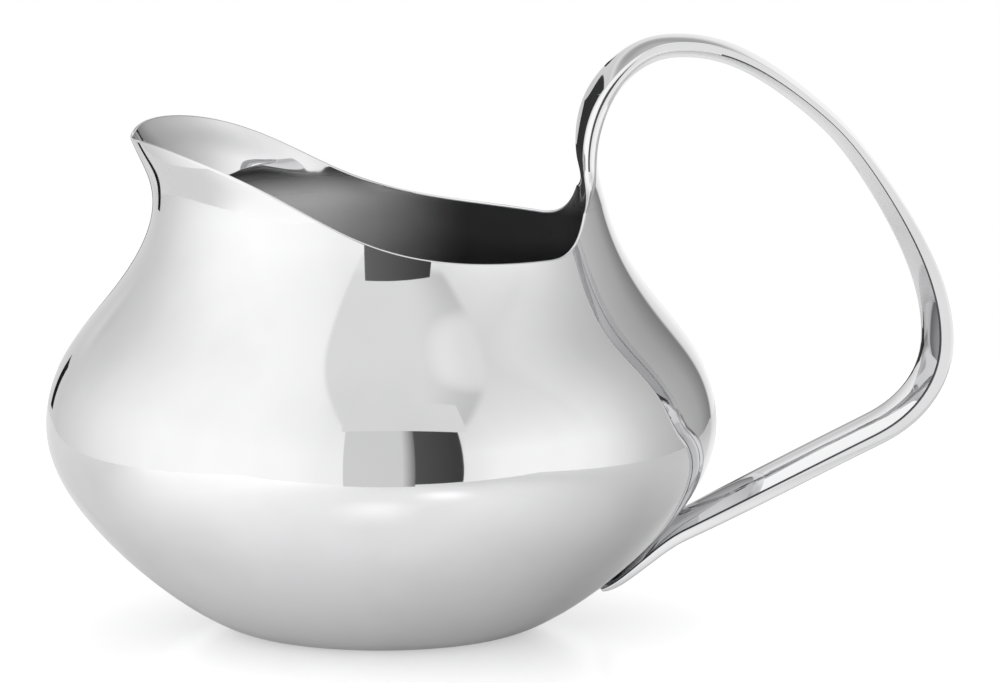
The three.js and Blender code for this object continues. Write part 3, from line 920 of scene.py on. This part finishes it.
# The panels dim with height, the right one more than the left, and neither at its rear end. Runs in the
# room are of a direction's x, y or z, from -1 to 1.
FADE_FROM, FADE_LEFT, FADE_RIGHT = 0.2, 0.12, 0.42
FADE_SIDES, FADE_DEPTH = (-0.3, 0.3), (-0.2, 0.15)
fade_rate = run_node(tree, (split, "X"), FADE_SIDES, (FADE_LEFT, FADE_RIGHT), soft=False)
height = run_node(tree, (split, "Z"), (FADE_FROM, 1.0), (0.0, 1.0 - FADE_FROM), soft=False)
fade_end = run_node(tree, (split, "Y"), FADE_DEPTH, (1.0, 0.0), soft=False)
fade_rate = add_node(tree, "ShaderNodeMath", {0: (fade_rate, 0), 1: (fade_end, 0)}, operation="MULTIPLY")
loss = add_node(tree, "ShaderNodeMath", {0: (height, 0), 1: (fade_rate, 0)}, operation="MULTIPLY")
keep = add_node(tree, "ShaderNodeMath", {0: 1.0, 1: (loss, 0)}, operation="SUBTRACT")
faded = add_node(tree, "ShaderNodeVectorMath", {0: (walls, 0), "Scale": (keep, 0)}, operation="SCALE")

# The ceiling lies between two planes that bound the panels, given by their normals. It is dimmer along the
# right panel, has a lamp in it, and is brighter to the rear and straight overhead.
CEILING_LEVEL = 0.68
CEILING_EDGE_LEVEL, CEILING_EDGE_RUN = 0.53, (-0.3, 0.0)
CEILING_LAMP, LAMP_TOWARDS, LAMP_BLUR = 0.155, (0.38, -0.25, 0.89), (0.975, 0.997)
CEILING_REAR, CEILING_REAR_RUN = 0.88, (-0.1, 0.15)
OVERHEAD_RUN = (0.93, 0.985)
GAP_LEVEL, GAP_RUN = 0.74, (0.45, 0.6)
LEFT_PANEL_EDGE, LEFT_PANEL_BLUR = (-0.9666, 0.0913, -0.2396), (-0.008, 0.022)
RIGHT_PANEL_EDGE, RIGHT_PANEL_BLUR = (0.892, 0.234, -0.387), (-0.02, 0.04)
left_side, right_side, towards_lamp = (
    add_node(tree, "ShaderNodeVectorMath", {0: (look, "Generated"), 1: way}, operation="DOT_PRODUCT")
    for way in (LEFT_PANEL_EDGE, RIGHT_PANEL_EDGE, LAMP_TOWARDS)
)
left_in = run_node(tree, (left_side, "Value"), LEFT_PANEL_BLUR)
right_in = run_node(tree, (right_side, "Value"), RIGHT_PANEL_BLUR)
panels = add_node(tree, "ShaderNodeMath", {0: (left_in, 0), 1: (right_in, 0)}, operation="MAXIMUM")
ceiling_plain = run_node(tree, (right_side, "Value"), CEILING_EDGE_RUN, (CEILING_LEVEL, CEILING_EDGE_LEVEL))
gap = run_node(tree, (split, "Z"), GAP_RUN, (GAP_LEVEL, (ceiling_plain, 0)))
lamp = run_node(tree, (towards_lamp, "Value"), LAMP_BLUR, (0.0, CEILING_LAMP))
lamp_lit = add_node(tree, "ShaderNodeMath", {0: (gap, 0), 1: (lamp, 0)}, operation="ADD")
rearward = run_node(tree, (split, "Y"), CEILING_REAR_RUN)
ceiling = add_node(
    tree,
    "ShaderNodeMix",
    {"Factor": (rearward, 0), "A": (lamp_lit, 0), "B": CEILING_REAR},
    data_type="FLOAT",
)
room = add_node(
    tree,
    "ShaderNodeMix",
    {"Factor": (panels, 0), "A": (ceiling, 0), "B": (faded, "Vector")},
    data_type="RGBA",
)

# The rear wall dims to a shadow under the ceiling, as (height as the sine of its angle, level).
rear_levels = [
    (0.0, 0.63), (0.18, 0.63), (0.27, 0.33), (0.34, 0.31), (0.44, 0.43), (0.52, 0.43), (0.68, 0.88),
]
REAR_DEPTH_RUN, REAR_HEIGHT_RUN = (0.55, 0.8), (0.1, 0.2)
REAR_LEFT_RUN, REAR_RIGHT_RUN = (-0.55, -0.3), (0.2, 0.3)
rear = grey_ramp(tree, (split, "Z"), rear_levels)
rear_in = run_node(tree, (split, "Y"), REAR_DEPTH_RUN)
for part in (
    run_node(tree, (split, "Z"), REAR_HEIGHT_RUN),
    run_node(tree, (split, "X"), REAR_LEFT_RUN),
    run_node(tree, (split, "X"), REAR_RIGHT_RUN, (1.0, 0.0)),
):
    rear_in = add_node(tree, "ShaderNodeMath", {0: (rear_in, 0), 1: (part, 0)}, operation="MULTIPLY")
room = add_node(
    tree, "ShaderNodeMix", {"Factor": (rear_in, 0), "A": (room, "Result"), "B": (rear, 0)}, data_type="RGBA"
)
overhead = run_node(tree, (split, "Z"), OVERHEAD_RUN)
roofed = add_node(
    tree,
    "ShaderNodeMix",
    {"Factor": (overhead, 0), "A": (room, "Result"), "B": (CEILING_REAR, CEILING_REAR, CEILING_REAR, 1.0)},
    data_type="RGBA",
)
rays = add_node(tree, "ShaderNodeLightPath")
lit = add_node(tree, "ShaderNodeBackground", {"Color": (roofed, "Result"), "Strength": PANEL_STRENGTH})
white = add_node(tree, "ShaderNodeBackground", {"Color": (1.0, 1.0, 1.0, 1.0), "Strength": 1.0})
shown = add_node(
    tree,
    "ShaderNodeMixShader",
    {0: (rays, "Is Camera Ray"), 1: (lit, "Background"), 2: (white, "Background")},
)
add_node(tree, "ShaderNodeOutputWorld", {"Surface": (shown, "Shader")})

# Paper cards, each as (name, y, x from and to, z from and to, level): the dark opening behind the camera, a
# grey card and a pale strip that hide parts of it from the belly, and a dark cloth, board and post behind the
# jug, which the hollow root and the elbow of the handle and the left of the belly pick up. Two cards go from
# one level to another while x runs between the last two values.
cards = (
    ("dark_opening", -105.0, (-14.4, 39.0), (17.5, 117.6), (0.17, 0.06), (-14.0, 39.0)),
    ("grey_card", -78.0, (-13.0, 9.0), (23.7, 58.2), (0.88, 0.25), (5.0, 9.0)),
    ("pale_strip", -66.0, (-11.0, 21.6), (49.4, 67.0), 0.98, None),
    ("dark_cloth", 141.0, (-55.0, 26.0), (28.0, 92.0), 0.04, None),
    ("dark_board", 70.0, (-20.0, 35.0), (27.0, 62.0), 0.05, None),
    ("dark_post", 104.0, (-99.6, -87.6), (24.5, 50.0), 0.01, None),
)
for name, y, (left, right), (bottom, top), level, run in cards:
    paper = bpy.data.materials.new(name.replace("_", " ") + " paper")
    paper.use_nodes = True
    tree = paper.node_tree
    tree.nodes.clear()
    if run:
        place = add_node(tree, "ShaderNodeTexCoord")
        split = add_node(tree, "ShaderNodeSeparateXYZ", {0: (place, "Object")})
        level = (run_node(tree, (split, "X"), (run[0] * MM, run[1] * MM), level, soft=False), 0)
    tone = add_node(tree, "ShaderNodeEmission", {"Strength": level})
    add_node(tree, "ShaderNodeOutputMaterial", {"Surface": (tone, "Emission")})
    corners = [(left, y, bottom), (right, y, bottom), (right, y, top), (left, y, top)]
    card = flat_board(name, corners, paper)
    card.visible_camera = False
    card.visible_diffuse = False
    card.visible_shadow = False

# Camera
# A long lens a step and a half away, a little above the jug and almost square to its side.
CAMERA_DISTANCE = 1500.0
CAMERA_TURN, CAMERA_RISE = np.radians(1.6), np.radians(9.32)
CAMERA_TARGET = np.array([18.75, 0.0, 45.42])
PIXELS_PER_MM = 6.332
IMAGE_WIDTH = 1000
SENSOR_MM = 36.0
gaze = np.array(
    [
        np.sin(CAMERA_TURN) * np.cos(CAMERA_RISE),
        np.cos(CAMERA_TURN) * np.cos(CAMERA_RISE),
        -np.sin(CAMERA_RISE),
    ]
)
lens = bpy.data.cameras.new("camera")
lens.sensor_fit = "HORIZONTAL"
lens.sensor_width = SENSOR_MM
lens.lens = SENSOR_MM * PIXELS_PER_MM * CAMERA_DISTANCE / IMAGE_WIDTH
camera = bpy.data.objects.new("camera", lens)
camera.location = (CAMERA_TARGET - CAMERA_DISTANCE * gaze) * MM
camera.rotation_euler = (np.pi / 2 - CAMERA_RISE, 0.0, -CAMERA_TURN)
bpy.context.scene.collection.objects.link(camera)
bpy.context.scene.camera = camera
bpy.context.scene.view_settings.view_transform = "Standard"
